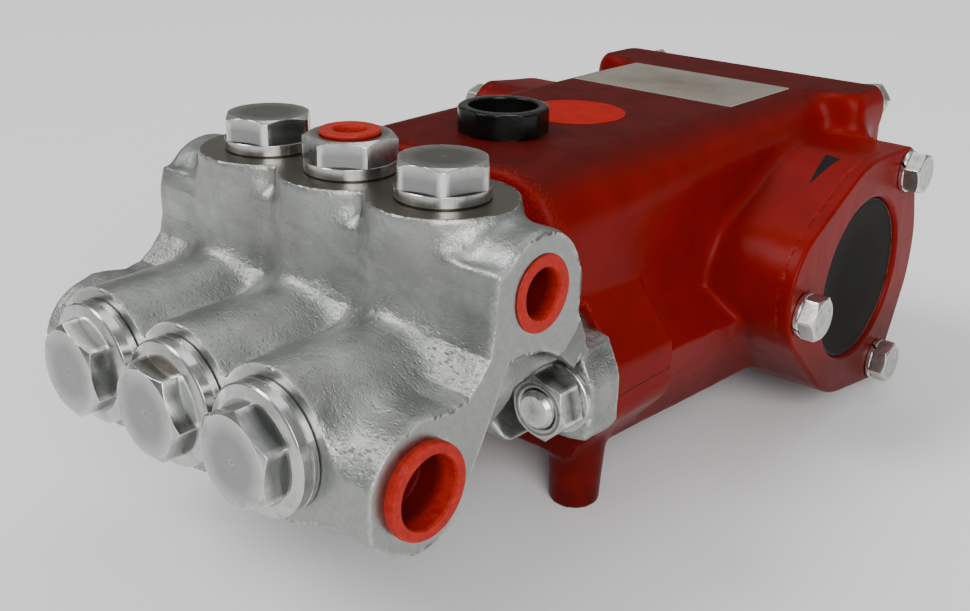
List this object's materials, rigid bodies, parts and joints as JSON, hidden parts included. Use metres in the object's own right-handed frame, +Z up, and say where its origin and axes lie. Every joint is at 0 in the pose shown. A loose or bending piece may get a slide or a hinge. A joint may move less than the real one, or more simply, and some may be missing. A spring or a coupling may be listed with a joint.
{
  "type": "triplex plunger pump",
  "caption": "Horizontal triplex plunger pump: silver cast valve casing with hexagon plugs and capped ports, bolted to a red crankcase on round feet with a keyed shaft.",
  "frame": {"origin": "middle of the four foot screws, on the base plane", "axes": "+Z up, +Y from the valve plugs to the rear cover, +X to the side with the sight glass, -X to the drive shaft"},
  "size_m": [0.3003, 0.4189, 0.1703],
  "materials": {
    "cast_metal": "as cast and blasted, machined faces smooth",
    "turned_steel": "turned and faced",
    "plated_steel": "zinc plated",
    "bare_steel": "ground",
    "port_cap": "moulded, waxy",
    "red_paint": "semi gloss paint on a casting",
    "dark_glass": "dark, slightly dull",
    "seal_rubber": "moulded",
    "black_plastic": "moulded",
    "plate": "printed foil, left bare",
    "sticker": "vinyl, left bare"
  },
  "bodies": {
    "root": {"bearing_bolt_left_1": "plated_steel", "bearing_bolt_left_2": "plated_steel", "bearing_bolt_left_3": "plated_steel", "bearing_bolt_right_1": "plated_steel", "bearing_bolt_right_2": "plated_steel", "bearing_bolt_right_3": "plated_steel", "bearing_cover_left": "red_paint", "bearing_cover_right": "red_paint", "crankcase": "red_paint", "discharge_plug_1": "turned_steel", "discharge_plug_3": "turned_steel", "drive_shaft": "bare_steel", "inlet_cap_left": "port_cap", "inlet_cap_right": "port_cap", "name_plate": "plate", "oil_filler_cap": "black_plastic", "outlet_cap_left": "port_cap", "outlet_cap_right": "port_cap", "rear_cover": "red_paint", "rear_cover_bolt_1": "plated_steel", "rear_cover_bolt_2": "plated_steel", "rear_cover_bolt_3": "plated_steel", "rear_cover_bolt_4": "plated_steel", "round_sticker": "sticker", "shaft_seal": "seal_rubber", "sight_glass": "dark_glass", "stud_left": "plated_steel", "stud_nut_left": "plated_steel", "stud_nut_right": "plated_steel", "stud_right": "plated_steel", "stud_washer_left": "plated_steel", "stud_washer_right": "plated_steel", "suction_plug_1": "turned_steel", "suction_plug_2": "turned_steel", "suction_plug_3": "turned_steel", "top_port_adaptor": "turned_steel", "top_port_cap": "port_cap", "valve_casing": "cast_metal"}
  },
  "joints": []
}
